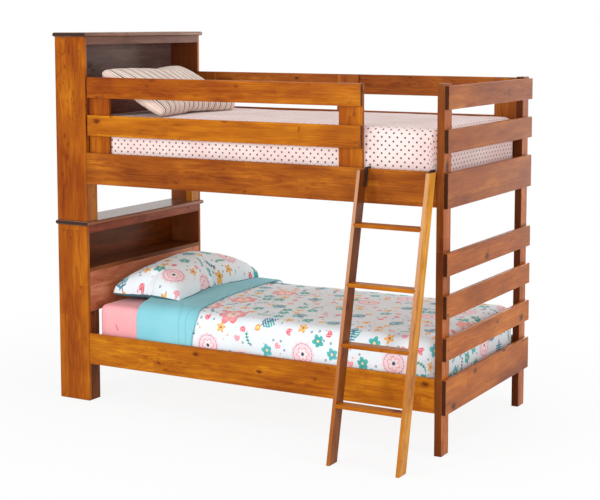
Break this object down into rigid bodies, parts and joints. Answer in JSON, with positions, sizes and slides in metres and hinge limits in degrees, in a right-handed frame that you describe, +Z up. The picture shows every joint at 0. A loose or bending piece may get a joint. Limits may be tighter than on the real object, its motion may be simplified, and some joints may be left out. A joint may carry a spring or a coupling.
{
  "type": "bunk bed",
  "caption": "Stacked pair of wooden single beds with bookcase headboards, slatted foot ends, guard rails, a hook-on ladder and made-up bedding.",
  "frame": {"origin": "bottom centre of the whole bed's bounding box, on the floor, ladder included", "axes": "+X from the bookcase headboard to the foot, +Y from the ladder side to the back, +Z up"},
  "size_m": [2.2, 1.4356, 1.908],
  "materials": {
    "stained_pine": "satin lacquer",
    "cap_pine": "satin lacquer",
    "panel_pine": "satin lacquer",
    "base_pine": "planed, unfinished",
    "bracket_steel": "zinc",
    "dark_steel": "black",
    "pink_sheet": "smooth cotton",
    "print_cotton": "printed cotton",
    "dot_cotton": "printed cotton",
    "stripe_cotton": "striped cotton"
  },
  "bodies": {
    "lower_bunk": {"lower_case_side_front": "stained_pine", "lower_case_side_back": "stained_pine", "lower_case_post_front": "stained_pine", "lower_case_post_back": "stained_pine", "lower_case_cap": "cap_pine", "lower_case_apron": "stained_pine", "lower_case_shelf": "stained_pine", "lower_case_face_panel": "stained_pine", "lower_case_back_panel": "panel_pine", "lower_foot_post_front": "stained_pine", "lower_foot_post_back": "stained_pine", "lower_foot_slat_1": "stained_pine", "lower_foot_slat_2": "stained_pine", "lower_foot_slat_3": "stained_pine", "lower_foot_slat_4": "stained_pine", "lower_side_rail_front": "stained_pine", "lower_side_rail_back": "stained_pine", "lower_slat_cleats": "base_pine", "lower_bed_slats": "base_pine", "lower_rail_brackets": "bracket_steel", "bunk_pins": "bracket_steel", "lower_mattress": "pink_sheet", "lower_comforter": "print_cotton", "lower_pillow": "print_cotton"},
    "upper_bunk": {"upper_case_side_front": "stained_pine", "upper_case_side_back": "stained_pine", "upper_case_post_front": "stained_pine", "upper_case_post_back": "stained_pine", "upper_case_cap": "cap_pine", "upper_case_apron": "stained_pine", "upper_case_shelf": "stained_pine", "upper_case_face_panel": "stained_pine", "upper_case_back_panel": "panel_pine", "upper_foot_post_front": "stained_pine", "upper_foot_post_back": "stained_pine", "upper_foot_slat_1": "stained_pine", "upper_foot_slat_2": "stained_pine", "upper_foot_slat_3": "stained_pine", "upper_side_rail_front": "stained_pine", "upper_side_rail_back": "stained_pine", "upper_slat_cleats": "base_pine", "upper_bed_slats": "base_pine", "upper_rail_brackets": "bracket_steel", "front_guard_board_lower": "stained_pine", "front_guard_board_upper": "stained_pine", "front_guard_post_left": "stained_pine", "front_guard_post_right": "stained_pine", "back_guard_board_lower": "stained_pine", "back_guard_board_upper": "stained_pine", "back_guard_post_head": "stained_pine", "back_guard_post_middle": "stained_pine", "back_guard_post_foot": "stained_pine", "upper_mattress": "dot_cotton", "upper_coverlet": "dot_cotton", "upper_pillow": "stripe_cotton"},
    "ladder": {"ladder_stile_left": "stained_pine", "ladder_stile_right": "stained_pine", "ladder_treads": "stained_pine", "ladder_hooks": "dark_steel"}
  },
  "joints": [
    {"name": "upper_bunk_lift", "type": "slide", "parent": "lower_bunk", "child": "upper_bunk", "axis": [0, 0, 1], "range_m": [0, 0.06]},
    {"name": "ladder_lift", "type": "slide", "parent": "upper_bunk", "child": "ladder", "axis": [0, 0, 1], "range_m": [0, 0.06]}
  ]
}
